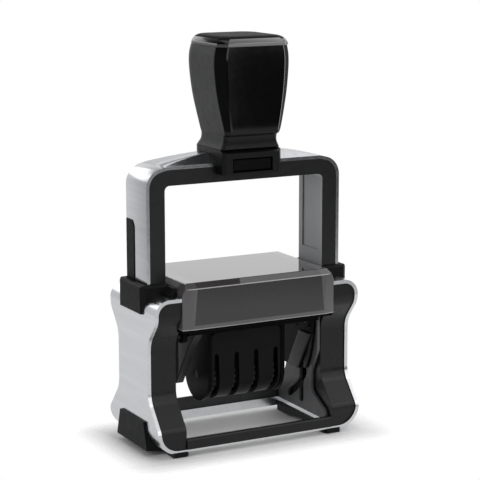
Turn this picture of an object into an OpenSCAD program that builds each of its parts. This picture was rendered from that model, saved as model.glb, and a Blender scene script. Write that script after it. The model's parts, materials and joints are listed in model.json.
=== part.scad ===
// Self-inking date stamp: a sprung bow pushes a carriage down and turns its die from the pad to the paper
// Front is -Y, the stamp stands on z = 0 and the origin is under the middle of the die

/* [Die and pad] */
// Width of the text plate
die_w = 56; // [50:1:64]
// Depth of the text plate
die_d = 33; // [30:0.5:36]
// Height of the die's face over the carriage axle
die_h = 9.6; // [9:0.1:11]
// Thickness of the rubber die
rubber_t = 2.8; // [2.2:0.1:3.2]
// Thickness of the ink pad
pad_t = 3.8; // [3:0.1:4.5]
// Gap between the die and the pad at rest
pad_gap = 1.3; // [1.1:0.1:2]
// Gap between the die and the paper at full press
print_gap = 0.2; // [0.1:0.05:0.5]

/* [Press] */
// Travel of the bow
press = 35; // [32:0.5:38]
// Gap left over the pad cover at full press
stop_gap = 0.9; // [0.5:0.1:3]
// Crank radius of the guide pins
crank_r = 9.5; // [8:0.25:9.75]
// Radius of the carriage axles and the guide pins
pin_r = 1.25; // [1:0.05:1.4]
// Curls of a return spring
spring_curls = 13; // [8:1:16]
// Radius of the spring wire
wire_r = 0.25; // [0.2:0.01:0.3]

/* [Body] */
// Thickness of the silver band
band_t = 1.4; // [1.2:0.1:1.8]
// Height of the feet under the band
foot_h = 1.9; // [1.5:0.1:3]
// Radius of the band's shoulders
shoulder_r = 6; // [4:0.5:7]
// Radius of the band's lower corners
base_r = 9; // [7:0.5:10]
// Thickness of the column's inner wall
wall_t = 2; // [1.6:0.1:3]
// Thickness of the column's front and rear walls at the waist
column_t = 3.2; // [2.8:0.1:4]
// Thickness of a cam plate
plate_t = 1.4; // [1.2:0.1:2]
// Gap between the carriage and a cam plate
cam_gap = 2; // [1.6:0.1:2.2]
// Depth of the front and rear rails
rail_d = 1.9; // [1.6:0.1:3]
// Height of the front and rear rails
rail_h = 4.2; // [3.4:0.1:5]
// How far the collars and feet stand out from the band
collar_proud = 1; // [0.6:0.1:1.6]
// Height of a guide collar
collar_h = 11; // [9:0.5:12]
// Wall of the smoked pad cover
cover_t = 1.4; // [1.2:0.1:1.8]
// Height of the smoked pad cover
cover_h = 17.7; // [16.5:0.1:19]

/* [Bow] */
// Thickness of a bow leg, strap and liner together
leg_t = 7.67; // [7.2:0.05:9]
// Depth of the bow
bow_d = 18.4; // [17:0.2:20]
// Thickness of the silver strap
strap_t = 1.3; // [1.1:0.1:1.4]
// Height of the bow's top bar at its middle
bar_h = 11; // [10:0.1:12.5]
// Rise of the bow's arched top over a leg
crown = 4; // [3:0.1:5]
// Outer radius of the bow's corners
bow_r = 7.5; // [6:0.5:10]
// How far the neck bracket stands in front of the bow
bracket_proud = 6.2; // [5.6:0.1:7]
// Travel of the lock button
button_travel = 1.2; // [0.8:0.1:1.4]

/* [Grip] */
// Height of the grip from its neck to the cap
grip_h = 39; // [35:0.5:45]
// Greatest half width of the grip
grip_x = 15.95; // [14.5:0.05:17.5]
// Greatest reach of the grip's frame to the front
grip_front = 17.7; // [16.7:0.1:19.2]
// Greatest reach of the soft sleeve to the rear
grip_rear = 13.9; // [12.7:0.1:15.2]
// Thickness of the soft sleeve
sleeve_t = 1.8; // [1.4:0.1:2.2]
// Thickness of the front panel
panel_t = 0.8; // [0.6:0.1:1.2]
// Height of the top cap
cap_h = 3.8; // [3:0.1:5]

/* [Date unit] */
// Distance between the setting wheels
wheel_pitch = 8.7; // [8.3:0.1:9.2]
// Radius of the date cover's round nose
nose_r = 10; // [9.4:0.1:10.4]
// Drop of the setting wheels' axle below the carriage axle
wheel_drop = 19; // [17.5:0.1:20]
// Teeth of a setting wheel
wheel_teeth = 20; // [16:1:26]

/* [Hidden] */
$fn = 64;
// Steps of a rounded corner
arc_n = 6;
// Length by which a cutter runs past what it cuts
cut = 1;

// Gap between pieces that are fixed to each other
seat = 0.05;
// Radial gap of a pin that turns in a bore
run_fit = 0.05;
// Gap between a sliding piece and its guide
slide_gap = 0.33;
// Gap between a pin and the sides of its slot
slot_gap = 0.3;

// Half widths from the die outward
frame_x = die_w / 2 + 0.6;
plate_x = frame_x + cam_gap;
wall_x = plate_x + plate_t;
leg_x0 = wall_x + wall_t + slide_gap;
leg_x1 = leg_x0 + leg_t;
insert_proud = 0.3;
band_x0 = leg_x1 + insert_proud + 0.5;
band_x1 = band_x0 + band_t;
collar_x1 = band_x1 + collar_proud;
collar_x0 = leg_x0 - slide_gap - 0.4;
cover_x = wall_x + 1;
window_x = plate_x;

// Half depths from the die outward
frame_y = die_d / 2 + 0.3;
swing_y = frame_y + 1.2;
cover_y = swing_y + 2.3 + cover_t;
window_y = frame_y + 2.6;
flange_t = 0.9;
foot_y = window_y + flange_t + rail_d + 0.4;
shoulder_y = cover_y - 1;
leg_y = bow_d / 2;
shaft_y = leg_y + slide_gap;
waist_y = shaft_y + column_t + 0.6;
collar_y = leg_y + slide_gap + 1.5;

// Heights from the paper upward
axle_z = print_gap + die_h + press;
die_z = axle_z + die_h;
pad_z = die_z + pad_gap;
plate_z = foot_h + band_t;
floor_z = plate_z + 1.6;
flange_z = plate_z + 2.2;
deck_z = axle_z + 3.4;
deck_t = 1.2;
cover_z = deck_z + deck_t + seat;
rest_z = pad_z - 0.3;
cover_top = cover_z + cover_h;
shoulder_z = cover_z + 12.5;
collar_z = shoulder_z - 7;
waist_z0 = 22;
waist_z1 = deck_z - 4;
bow_z = cover_top + press + stop_gap;
bow_top = bow_z + bar_h;
leg_z = axle_z - 4.3;

// Springs in the bow's legs
spring_x = leg_x0 + 3.1;
spring_y = 5;
bore_r = 2.2;
post_r = bore_r - 0.3;
spring_r = post_r - wire_r;
post_top = leg_z - 2.4;
spring_z0 = post_top + wire_r + seat;
spring_z1 = bow_z - 10;
bore_top = spring_z1 + wire_r + seat;

// Date unit on the carriage
wheel_z = axle_z - wheel_drop;
cover_wall = 1.4;
end_t = 1.6;
unit_x = 1.5 * wheel_pitch + 2.3;
disc_t = 1.3;
disc_r = nose_r - cover_wall - 0.4;
drum_r = 5;
band_gap = 0.2;
date_band_t = 0.9;
bridge_y = 2.1;
wheel_pin_r = 1.5;

function unit(v) = v / norm(v);
function flip(c) = [-c[0], c[1], c[2]];
function reversed(list) = [for (i = [len(list) - 1 : -1 : 0]) list[i]];

// Points of a closed outline whose corners, written [x, y, radius], are rounded
function rounded(c) = [
    for (i = [0 : len(c) - 1])
        let (
            p = [c[i][0], c[i][1]],
            before = c[(i + len(c) - 1) % len(c)],
            after = c[(i + 1) % len(c)],
            u = unit([before[0], before[1]] - p),
            v = unit([after[0], after[1]] - p),
            r = c[i][2],
            half = acos(u * v) / 2,
            mid = p + unit(u + v) * r / sin(half),
            first = p + u * r / tan(half) - mid,
            last = p + v * r / tan(half) - mid,
            start = atan2(first[1], first[0]),
            turn = atan2(last[1], last[0]) - start,
            sweep = turn - 360 * round(turn / 360)
        )
        each r == 0 ? [p] : [for (k = [0 : arc_n]) mid + r * arm(start + sweep * k / arc_n)]
];
function arm(angle) = [cos(angle), sin(angle)];

// Solid through rings of points, all with one count, that follow each other along an axis
module loft(rings) {
    n = len(rings[0]);
    m = len(rings);
    sides = [
        for (k = [0 : m - 2], i = [0 : n - 1])
            let (j = (i + 1) % n)
            each [
                [k * n + i, (k + 1) * n + i, (k + 1) * n + j],
                [k * n + i, (k + 1) * n + j, k * n + j]
            ]
    ];
    bottom = [for (i = [0 : n - 1]) i];
    top = [for (i = [n - 1 : -1 : 0]) (m - 1) * n + i];
    polyhedron(points = [for (ring = rings) each ring], faces = concat([bottom, top], sides));
}

// Extrusions of an outline in the XZ plane along Y, and of one in the YZ plane along X
module along_y(depth) {
    rotate([90, 0, 0]) linear_extrude(depth, center = true) children();
}
module along_x(x0, x1) {
    translate([x0, 0, 0]) rotate([90, 0, 90]) linear_extrude(x1 - x0) children();
}
// A shape and its mirror image on the left
module both_sides() {
    children();
    mirror([1, 0, 0]) children();
}
// Box from one corner to the opposite one
module span(low, high) {
    translate(low) cube(high - low);
}

// Rectangle about x = 0 with round lower and upper corners
module round_rect(half, z0, z1, r0, r1) {
    for (s = [-1, 1]) {
        translate([s * (half - r0), z0 + r0]) circle(r0);
        translate([s * (half - r1), z1 - r1]) circle(r1);
    }
    translate([-half, z0 + r0]) square([2 * half, z1 - z0 - r0 - r1]);
    translate([r0 - half, z0]) square([2 * (half - r0), r0 * 2]);
    translate([r1 - half, z1 - 2 * r1]) square([2 * (half - r1), r1 * 2]);
}

// Hourglass outline of the body's side, as corners from the foot to the shoulder
function side_corners(low, waist, high, z0, z1) = [
    [low - 0.8, z0, 2],
    [low, 11, 4],
    [waist, waist_z0, 9],
    [waist, waist_z1, 9],
    [high, waist_z1 + 9, 7],
    [high, z1, 1]
];
function side_outline(low, waist, high, z0, z1) =
    let (right = side_corners(low, waist, high, z0, z1))
    rounded(concat(right, [for (c = reversed(right)) flip(c)]));

// Filled outline of the band, inset from its outer face
module band_profile(inset) {
    round_rect(band_x1 - inset, foot_h + inset, shoulder_z - inset, base_r - inset, shoulder_r - inset);
}

// Band round the body, with a window in its floor whose edge is turned up
module body_band() color("silver") {
    rim_x = window_x + flange_t;
    rim_y = window_y + flange_t;
    difference() {
        union() {
            intersection() {
                along_y(3 * foot_y) difference() {
                    band_profile(0);
                    band_profile(band_t);
                    translate([-cover_x - seat, shoulder_z - 2 * band_t])
                        square([2 * (cover_x + seat), 3 * band_t]);
                }
                along_x(-collar_x1, collar_x1)
                    polygon(side_outline(foot_y, waist_y, shoulder_y, foot_h, shoulder_z + cut));
            }
            span([-rim_x, -rim_y, foot_h], [rim_x, rim_y, flange_z]);
        }
        span([-window_x, -window_y, 0], [window_x, window_y, flange_z + cut]);
        both_sides() collar_block(seat);
    }
}

// Right column: a moulding in the band with a shaft for the bow's leg
module column() {
    edge = 0.6;
    difference() {
        intersection() {
            along_x(wall_x, band_x0 - seat)
                polygon(side_outline(foot_y - edge, waist_y - edge, shoulder_y - edge, foot_h, shoulder_z + cut));
            along_y(3 * foot_y) band_profile(band_t + seat);
        }
        span([wall_x + wall_t, -shaft_y, floor_z], [band_x1, shaft_y, shoulder_z]);
        span([0, -foot_y, deck_z], [cover_x + seat, foot_y, shoulder_z + cut]);
        collar_block(seat);
        along_x(wall_x - cut, leg_x0) axle_slot();
    }
}
module left_column() color("#1b1c1e") mirror([1, 0, 0]) column();
module right_column() color("#1b1c1e") column();

// Rail between the columns, with a rounded outer edge and a mark at its middle
module rail(height) {
    y0 = window_y + flange_t + seat;
    y1 = window_y + flange_t + rail_d;
    z1 = plate_z + height;
    outer_r = 1;
    inner_r = 0.3;
    mark_w = 0.6;
    mark_h = 0.3;
    difference() {
        along_x(-wall_x + seat, wall_x - seat) polygon(rounded([
            [y0, plate_z, 0], [y1, plate_z, 0], [y1, z1, outer_r], [y0, z1, inner_r]
        ]));
        span([-mark_w / 2, y0 - cut, z1 - mark_h], [mark_w / 2, y1 + cut, z1 + cut]);
    }
}
rear_rise = 3.1;
module front_rail() color("#161719") mirror([0, 1, 0]) rail(rail_h);
module rear_rail() color("#161719") rail(rail_h + rear_rise);

// Plan outline of a collar, grown by a gap
module collar_plan(gap) {
    bevel = 1.8;
    x0 = collar_x0 - gap;
    x1 = collar_x1 + gap;
    y1 = collar_y + gap;
    polygon([
        [x0, -y1], [x1 - bevel, -y1], [x1, bevel - y1],
        [x1, y1 - bevel], [x1 - bevel, y1], [x0, y1]
    ]);
}
module collar_block(gap) {
    translate([0, 0, collar_z - gap]) linear_extrude(collar_h + 2 * gap) collar_plan(gap);
}
// Right guide collar round the bow's leg, bevelled round its top, with a fin along the pad cover
module collar() {
    bevel = 1.2;
    fin_y = collar_y + 5.6;
    fin_w = 2.8;
    difference() {
        union() {
            collar_block(0);
            along_y(2 * fin_y) polygon([
                [collar_x0, shoulder_z + seat], [collar_x0 + fin_w, shoulder_z + seat],
                [collar_x0 + fin_w, shoulder_z + 1], [collar_x0 + 1, collar_z + collar_h - 0.6],
                [collar_x0, collar_z + collar_h - 0.6]
            ]);
        }
        span([leg_x0 - slide_gap, -shaft_y, 0], [leg_x1 + insert_proud + slide_gap, shaft_y, bow_z]);
        for (s = [-1, 1])
            translate([0, s * collar_y, collar_z + collar_h]) rotate([45, 0, 0])
                cube([3 * collar_x1, bevel, bevel], center = true);
        translate([collar_x1, 0, collar_z + collar_h]) rotate([0, 45, 0])
            cube([bevel, 3 * collar_y, bevel], center = true);
    }
}
module left_collar() color("#141517") mirror([1, 0, 0]) collar();
module right_collar() color("#141517") collar();

// Right foot: a bar under the band, arched in its middle, that laps the window's edge and climbs the lower corner
module foot() {
    cap_top = 13;
    cap_y = 10.5;
    cap_foot_y = 13.6;
    cap_z = foot_h - 0.7;
    cap_rise = 1.2;
    bar_y = foot_y - 2.2;
    bar_x = window_x + 0.3;
    bar_end = band_x1 - base_r + 1.5;
    lip_x = window_x - seat - 0.6;
    lip_y = window_y - 0.4;
    lip_z = plate_z + 0.4;
    arch_r = 32;
    arch_z = foot_h - 0.4;
    difference() {
        union() {
            difference() {
                union() {
                    span([bar_x, -bar_y, 0], [bar_end, bar_y, foot_h]);
                    intersection() {
                        along_y(2 * foot_y) polygon([
                            [bar_x, cap_z], [bar_end, cap_z], [collar_x1, cap_z + cap_rise],
                            [collar_x1, cap_top], [bar_x, cap_top]
                        ]);
                        along_x(0, collar_x1 + cut) polygon([
                            [-cap_foot_y, 0], [cap_foot_y, 0], [cap_foot_y, plate_z], [cap_y, cap_top + cut],
                            [-cap_y, cap_top + cut], [-cap_foot_y, plate_z]
                        ]);
                    }
                }
                along_y(3 * foot_y) band_profile(-seat);
            }
            span([lip_x, -lip_y, 0], [window_x - seat, lip_y, lip_z]);
            span([lip_x, -lip_y, 0], [bar_x + cut, lip_y, foot_h - seat]);
        }
        translate([lip_x - cut, 0, arch_z - arch_r]) rotate([0, 90, 0])
            cylinder(r = arch_r, h = band_x1, $fn = 128);
    }
}
module left_foot() color("#121315") mirror([1, 0, 0]) foot();
module right_foot() color("#121315") foot();

// Path of a guide pin as the carriage goes down by the press and turns half round
function track(t) = [-crank_r * cos(t), axle_z - press * t / 180 - crank_r * sin(t)];
function track_normal(t) =
    let (d = unit([crank_r * sin(t), -press / PI - crank_r * cos(t)]))
    [-d[1], d[0]];
module track_slot() {
    half = pin_r + slot_gap;
    turn_step = 7.5;
    polygon(concat(
        [for (t = [0 : turn_step : 180]) track(t) + half * track_normal(t)],
        [for (t = [180 : -turn_step : 0]) track(t) - half * track_normal(t)]
    ));
    for (t = [0, 180])
        translate(track(t)) circle(half);
}
// Straight path of the axle
module axle_slot() {
    half = pin_r + slot_gap;
    for (z = [axle_z, axle_z - press])
        translate([0, z]) circle(half);
    translate([-half, axle_z - press]) square([2 * half, press]);
}
// Right cam plate: the wall with the S-shaped pin track and the axle slot, cut back in front below the track
module cam_plate() {
    edge_y = crank_r + pin_r + slot_gap + 1.4;
    neck_y = edge_y - 4.8;
    neck_z0 = waist_z0 - 7;
    neck_z1 = waist_z0 + 1;
    brow_z = waist_z0 + 10;
    flare_y = window_y - 0.4;
    difference() {
        along_x(plate_x, wall_x - seat) polygon(rounded([
            [-flare_y, flange_z + seat, 0], [flare_y, flange_z + seat, 0], [flare_y, floor_z + 4, 3],
            [edge_y, waist_z0, 9], [edge_y, deck_z - seat, 2], [-edge_y, deck_z - seat, 2],
            [-edge_y, brow_z, 5], [-neck_y, neck_z1, 4], [-neck_y, neck_z0, 4], [-flare_y, floor_z + 4, 3]
        ]));
        along_x(plate_x - cut, wall_x + cut) track_slot();
        along_x(plate_x - cut, wall_x + cut) axle_slot();
    }
}
module left_cam_plate() color("#222326") mirror([1, 0, 0]) cam_plate();
module right_cam_plate() color("#222326") cam_plate();

// Plan of the cover with its front corners cut off, inset by a wall
module cover_plan(wall, rear_y) {
    corner_x = 4.2;
    corner_y = 0.8;
    half = cover_x - wall;
    y1 = cover_y - wall;
    polygon([
        [-half, rear_y], [half, rear_y], [half, corner_y - y1],
        [half - corner_x, -y1], [corner_x - half, -y1], [-half, corner_y - y1]
    ]);
}
// Side view of the cover, inset by a wall; the roof is bevelled down to a ridge at the front
module cover_outline(wall) {
    ridge_drop = 1.9;
    ridge_y = 2.9;
    rear_bevel = 1.6;
    y1 = cover_y - wall;
    z0 = wall > 0 ? cover_z - cut : cover_z;
    z1 = cover_top - wall;
    polygon([
        [-y1, z0], [y1, z0], [y1, z1 - rear_bevel], [y1 - rear_bevel, z1],
        [ridge_y - y1, z1], [-y1, z1 - ridge_drop]
    ]);
}
// Front view of the cover, inset by a wall; its upper ends are slanted
module cover_ends(wall) {
    slant_x = 2.2;
    slant_z = 4;
    half = cover_x - wall;
    z0 = cover_z - 2 * cut;
    z1 = cover_top - wall;
    polygon([
        [-half, z0], [half, z0], [half, z1 - slant_z], [half - slant_x, z1],
        [slant_x - half, z1], [-half, z1 - slant_z]
    ]);
}
module cover_form(wall) {
    intersection() {
        along_x(-cover_x - cut, cover_x + cut) cover_outline(wall);
        along_y(3 * cover_y) cover_ends(wall);
        translate([0, 0, cover_z - 2 * cut]) linear_extrude(2 * cover_h) cover_plan(wall, cover_y - wall);
    }
}

// Frame on the columns that the cover stands on and the pad tray slides over
module pad_housing() color("#1a1a1c") {
    inner_x = frame_x + 0.35;
    wall = cover_t + seat;
    difference() {
        union() {
            intersection() {
                translate([0, 0, deck_z + seat]) linear_extrude(deck_t - seat) cover_plan(0, cover_y);
                span([-cover_x - cut, wall - cover_y, deck_z], [cover_x + cut, cover_y - wall, cover_z]);
            }
            translate([0, 0, deck_z + deck_t / 2]) linear_extrude(rest_z - deck_z - deck_t / 2)
                cover_plan(wall, cover_y - wall);
        }
        span([-inner_x, -swing_y, 0], [inner_x, swing_y, bow_z]);
    }
}
module pad_cover() color("#4a4748", 0.85) {
    difference() {
        cover_form(0);
        cover_form(cover_t);
        span([-tray_x - slide_gap, 0, rest_z - 0.4],
            [tray_x + slide_gap, 2 * cover_y, tray_z1 + slide_gap]);
    }
}

// Drawer that carries the felt pad face down and pulls out at the back
tray_x = cover_x - cover_t - 1.2;
tray_z0 = rest_z + 0.1;
tray_z1 = pad_z + pad_t + 1.6;
module pad_tray() color("#2b2b2d") {
    grip_y = cover_y - cover_t - 0.4;
    rib = 0.9;
    difference() {
        union() {
            intersection() {
                span([-tray_x, -swing_y - 0.8, tray_z0], [tray_x, cover_y + 0.2, tray_z1]);
                translate([0, 0, tray_z0 - cut]) linear_extrude(cover_h) cover_plan(cover_t + 0.6, 2 * cover_y);
            }
            for (k = [-3 : 3])
                span([3 * k - rib / 2, grip_y, tray_z0 + 1], [3 * k + rib / 2, cover_y + 0.8, tray_z1 - 1]);
        }
        span([-pad_x - seat, -pad_y - seat, 0], [pad_x + seat, pad_y + seat, pad_z + pad_t + seat]);
    }
}
pad_x = die_w / 2 + 0.4;
pad_y = die_d / 2 + 0.4;
module ink_pad() color("#20232f") span([-pad_x, -pad_y, pad_z], [pad_x, pad_y, pad_z + pad_t]);

// Guide rods that stand on the columns' floors and carry the springs
module spring_posts() color("lightgray") both_sides() {
    translate([spring_x, spring_y, floor_z + seat]) cylinder(r = post_r, h = post_top - floor_z - seat);
}

// Centre line of a spring and the six-sided ring of its wire at a turn
function coil(t) = [spring_r * cos(t), spring_r * sin(t),
    spring_z0 + (spring_z1 - spring_z0) * t / (360 * spring_curls)];
function coil_ring(t) =
    let (
        out = [cos(t), sin(t), 0],
        climb = (spring_z1 - spring_z0) / (2 * PI * spring_curls),
        along = unit([-spring_r * sin(t), spring_r * cos(t), climb]),
        side = cross(along, out)
    )
    [for (a = [0 : 60 : 300]) coil(t) + wire_r * (cos(a) * out - sin(a) * side)];
coil_step = 45;
coil_turns = [for (t = [0 : coil_step : 360 * spring_curls]) t];
// Least gap between one curl and the next, on the points of the centre line
coil_gap = min([
    for (t = coil_turns, u = coil_turns)
        if (u - t >= 180) norm(coil(u) - coil(t)) - 2 * wire_r
]);
module spring() {
    echo(least_spring_gap = coil_gap);
    translate([spring_x, spring_y, 0]) loft([for (t = coil_turns) coil_ring(t)]);
}
module left_spring() color("gainsboro") mirror([1, 0, 0]) spring();
module right_spring() color("gainsboro") spring();

// Front view of the bow, inset from the strap's outer face: an arch that runs smoothly into its round corners
module bow_profile(inset) {
    arch_x = leg_x1 - bow_r;
    arch_r = (arch_x * arch_x + crown * crown) / (2 * crown);
    arch_z = bow_top - arch_r;
    corner_z = arch_z + sqrt(pow(arch_r - bow_r, 2) - arch_x * arch_x);
    touch_x = arch_x * (arch_r - inset) / (arch_r - bow_r);
    half = leg_x1 - inset;
    intersection() {
        translate([0, arch_z]) circle(arch_r - inset, $fn = 256);
        translate([-touch_x, leg_z]) square([2 * touch_x, bow_top]);
    }
    for (s = [-1, 1])
        translate([s * arch_x, corner_z]) circle(bow_r - inset);
    translate([-half, leg_z]) square([2 * half, corner_z - leg_z]);
}
// Solid form of the bow, with its top bevelled to the front and the rear and the legs' outer ends cut off
module bow_form(inset) {
    rim_z = bow_top - 3.7 - inset;
    slope = 35;
    leg_bevel = 3.5;
    difference() {
        along_y(bow_d) bow_profile(inset);
        both_sides() along_y(2 * bow_d) polygon([
            [leg_x1 - leg_bevel - cut, leg_z - cut], [leg_x1 + cut, leg_z - cut], [leg_x1 + cut, leg_z + leg_bevel + cut]
        ]);
        for (s = [-1, 1])
            translate([0, s * leg_y, rim_z]) rotate([-s * slope, 0, 0])
                translate([-leg_x1, -leg_y, 0]) cube([2 * leg_x1, 2 * leg_y, 2 * bow_r]);
    }
}
// Loop that the hand sees through, between the legs
module bow_loop(gap) {
    corner_r = 2;
    along_y(3 * bow_d) difference() {
        round_rect(leg_x0 + gap, leg_z - 3 * bow_r, bow_z + gap, corner_r, corner_r);
        translate([-leg_x1, leg_z - 5 * bow_r]) square([2 * leg_x1, bow_r]);
    }
}
module screw_places() {
    for (s = [-1, 1])
        translate([7 * s, 0, 0]) children();
}
screw_r = 1.5;
head_r = 2.8;
head_h = 1.8;
module screw_bores(gap) {
    screw_places() {
        translate([0, 0, bow_z - cut]) cylinder(r = screw_r + gap, h = bar_h + cut + 1.2 + gap);
        translate([0, 0, bow_z - cut]) cylinder(r = head_r + gap, h = cut + head_h + gap);
    }
}

module bow_strap() color("#c9ccce") {
    difference() {
        bow_form(0);
        bow_form(strap_t);
        span([-leg_x1 + strap_t, -leg_y - cut, 0], [leg_x1 - strap_t, leg_y + cut, bow_z]);
        both_sides() leg_insert_form(seat);
        screw_bores(seat);
    }
}
// Black liner inside the strap, with shallow channels down the legs and bores for the springs
module bow_liner() color("#1a1b1d") {
    channel_y = 6.2;
    channel_t = 0.4;
    difference() {
        bow_form(strap_t + seat);
        bow_loop(0);
        both_sides() {
            span([0, -channel_y, shoulder_z + 10], [leg_x0 + channel_t, channel_y, bow_z - 1.5]);
            translate([spring_x, spring_y, 0]) cylinder(r = bore_r, h = bore_top);
            translate([leg_x0 - cut, 0, axle_z]) rotate([0, 90, 0])
                cylinder(r = pin_r + seat, h = cut + axle_seat + seat);
        }
        screw_bores(seat);
    }
}

// Black inlay in the rear half of a leg's outer face
insert_drop = 14;
module leg_insert_form(gap) {
    y0 = leg_y * 0.2 - gap;
    y1 = leg_y - 0.3 + gap;
    z0 = collar_z + 1 - gap;
    z1 = bow_z - insert_drop + gap;
    depth = 0.6;
    slant_y = 1.6;
    slant_z = 2.4;
    along_x(leg_x1 - depth - gap, leg_x1 + insert_proud)
        polygon([[y0, z0], [y1, z0], [y1, z1], [y0 + slant_y, z1], [y0, z1 - slant_z]]);
}
module left_leg_insert() color("#151618") mirror([1, 0, 0]) leg_insert_form(0);
module right_leg_insert() color("#151618") leg_insert_form(0);

// Stub axles in the legs that the carriage hangs on
axle_seat = 2.4;
module axle_pins() color("lightgray") both_sides() {
    inner_x = frame_x - cheek_t - 0.2;
    translate([inner_x, 0, axle_z]) rotate([0, 90, 0]) cylinder(r = pin_r, h = leg_x0 + axle_seat - inner_x);
}

// Saddle that clamps the grip on the bow, with a pocket for the lock button
bracket_y = leg_y + bracket_proud;
saddle_t = 1.6;
saddle_top = bow_top + saddle_t;
button_z0 = bow_z + 4.3;
button_z1 = button_z0 + 4.7;
button_x = 8.3;
module neck_bracket() color("#3a3c3f") {
    neck = stations[0];
    bevel = 1.2;
    base_z = button_z0 - 1.1;
    ledge_z = bow_top + 0.3;
    ledge_slope = 24;
    gap = 0.3;
    difference() {
        translate([0, 0, base_z]) linear_extrude(saddle_top - base_z) polygon(concat(
            [[neck[1] - bevel, -bracket_y], [neck[1], bevel - bracket_y]],
            rear_arc(neck, 0),
            [[-neck[1], bevel - bracket_y], [bevel - neck[1], -bracket_y]]
        ));
        difference() {
            bow_form(-seat);
            bow_loop(-seat);
        }
        translate([-leg_x0, -bracket_y, ledge_z]) rotate([ledge_slope, 0, 0])
            cube([2 * leg_x0, bracket_proud - 1, 2 * bracket_proud]);
        span([-button_x - gap, -bracket_y - cut, button_z0 - gap],
            [button_x + gap, -leg_y - 1, button_z1 + gap]);
        screw_bores(seat);
    }
}
module neck_screws() color("lightgray") {
    screw_places() {
        translate([0, 0, bow_z + 0.2]) cylinder(r = screw_r, h = bar_h + 0.9);
        translate([0, 0, bow_z + 0.2]) cylinder(r = head_r, h = head_h - 0.2);
    }
}
module lock_button() color("#26272a") {
    y0 = -bracket_y + 0.5;
    edge = 0.6;
    along_x(-button_x, button_x) polygon([
        [y0 + edge, button_z0], [-leg_y - 1 - button_travel - 0.4, button_z0],
        [-leg_y - 1 - button_travel - 0.4, button_z1], [y0 + edge, button_z1],
        [y0, button_z1 - edge], [y0, button_z0 + edge]
    ]);
}

// Stations of the grip from neck to cap: [height, half width, front, rear, front bevel, rear radius]
grip_z = saddle_top + seat;
stations = [
    [0, grip_x - 3.3, grip_front - 3.6, grip_rear - 1.9, 0.9, 6.2],
    [2.5, grip_x - 4.3, grip_front - 3.9, grip_rear - 3.6, 0.9, 6],
    [5, grip_x - 4.4, grip_front - 3.2, grip_rear - 4, 1.2, 6],
    [7.2, grip_x - 3.8, grip_front - 0.9, grip_rear - 3.8, 1.8, 6.2],
    [grip_h * 0.5, grip_x - 1.2, grip_front - 0.3, grip_rear - 1.5, 2.8, 8],
    [grip_h * 0.75, grip_x - 0.05, grip_front, grip_rear - 0.1, 3.3, 9.2],
    [grip_h * 0.9, grip_x, grip_front, grip_rear, 3.3, 9.2],
    [grip_h, grip_x - 0.7, grip_front - 0.5, grip_rear - 0.7, 3.2, 8.8]
];
station_n = 3;
grip_end = (len(stations) - 1) * station_n;
// Smooth curve through the stations, at a count of thirds of a station
function station(i) = stations[max(0, min(len(stations) - 1, i))];
function grip_row(k) =
    let (
        i = min(floor(k / station_n), len(stations) - 2),
        t = k / station_n - i,
        a = station(i - 1), b = station(i), c = station(i + 1), d = station(i + 2)
    )
    (2 * b + (c - a) * t + (2 * a - 5 * b + 4 * c - d) * t * t + (3 * b - a - 3 * c + d) * t * t * t) / 2;
// Rear corners of a section, inset from the sleeve's face
function rear_right(s, inset) =
    [for (k = [0 : arc_n]) [s[1] - s[5], s[3] - s[5]] + (s[5] - inset) * arm(90 * k / arc_n)];
function rear_left(s, inset) =
    [for (k = [0 : arc_n]) [s[5] - s[1], s[3] - s[5]] + (s[5] - inset) * arm(90 + 90 * k / arc_n)];
function rear_arc(s, inset) = concat(rear_right(s, inset), rear_left(s, inset));
function at_z(z, outline) = [for (p = outline) [p[0], p[1], z]];
function edge_y(s) = -s[2] + s[4];
function core_ring(s) =
    let (side = s[1] - sleeve_t - seat, shelf = edge_y(s) - seat)
    at_z(grip_z + s[0], concat(
        [[s[1] - s[4], -s[2]], [s[1], shelf], [side, shelf]],
        rear_arc(s, sleeve_t + seat),
        [[-side, shelf], [-s[1], shelf], [s[4] - s[1], -s[2]]]
    ));
function sleeve_row(s, inset) =
    at_z(grip_z + s[0], concat(
        [[s[1] - inset, edge_y(s)]], rear_arc(s, inset), [[inset - s[1], edge_y(s)]]
    ));
// Open shell between two rows of points on each level, from the right edge round the back to the left edge
module shell(outer, inner) {
    n = len(outer[0]);
    m = len(outer);
    function o(k, i) = k * n + i;
    function p(k, i) = (m + k) * n + i;
    walls = [
        for (k = [0 : m - 2], i = [0 : n - 2]) each [
            [o(k, i), o(k + 1, i), o(k + 1, i + 1)],
            [o(k, i), o(k + 1, i + 1), o(k, i + 1)],
            [p(k, i + 1), p(k + 1, i + 1), p(k + 1, i)],
            [p(k, i + 1), p(k + 1, i), p(k, i)]
        ]
    ];
    ends = [
        for (i = [0 : n - 2]) each [
            [o(0, i), o(0, i + 1), p(0, i + 1), p(0, i)],
            [o(m - 1, i), p(m - 1, i), p(m - 1, i + 1), o(m - 1, i + 1)]
        ]
    ];
    tips = [
        for (k = [0 : m - 2]) each [
            [p(k, 0), p(k + 1, 0), o(k + 1, 0)],
            [p(k, 0), o(k + 1, 0), o(k, 0)],
            [o(k, n - 1), o(k + 1, n - 1), p(k + 1, n - 1)],
            [o(k, n - 1), p(k + 1, n - 1), p(k, n - 1)]
        ]
    ];
    polyhedron(points = concat([for (r = outer) each r], [for (r = inner) each r]), faces = concat(walls, ends, tips));
}
function panel_ring(s) =
    let (half = s[1] - s[4] - 0.1, bevel = 0.5)
    at_z(grip_z + s[0], [
        [bevel - half, -s[2] - panel_t], [half - bevel, -s[2] - panel_t],
        [half, -s[2] - panel_t + bevel], [half, -s[2] - seat],
        [-half, -s[2] - seat], [-half, -s[2] - panel_t + bevel]
    ]);
module grip_core() color("#0c0c0d") loft([for (k = [0 : grip_end]) core_ring(grip_row(k))]);
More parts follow.
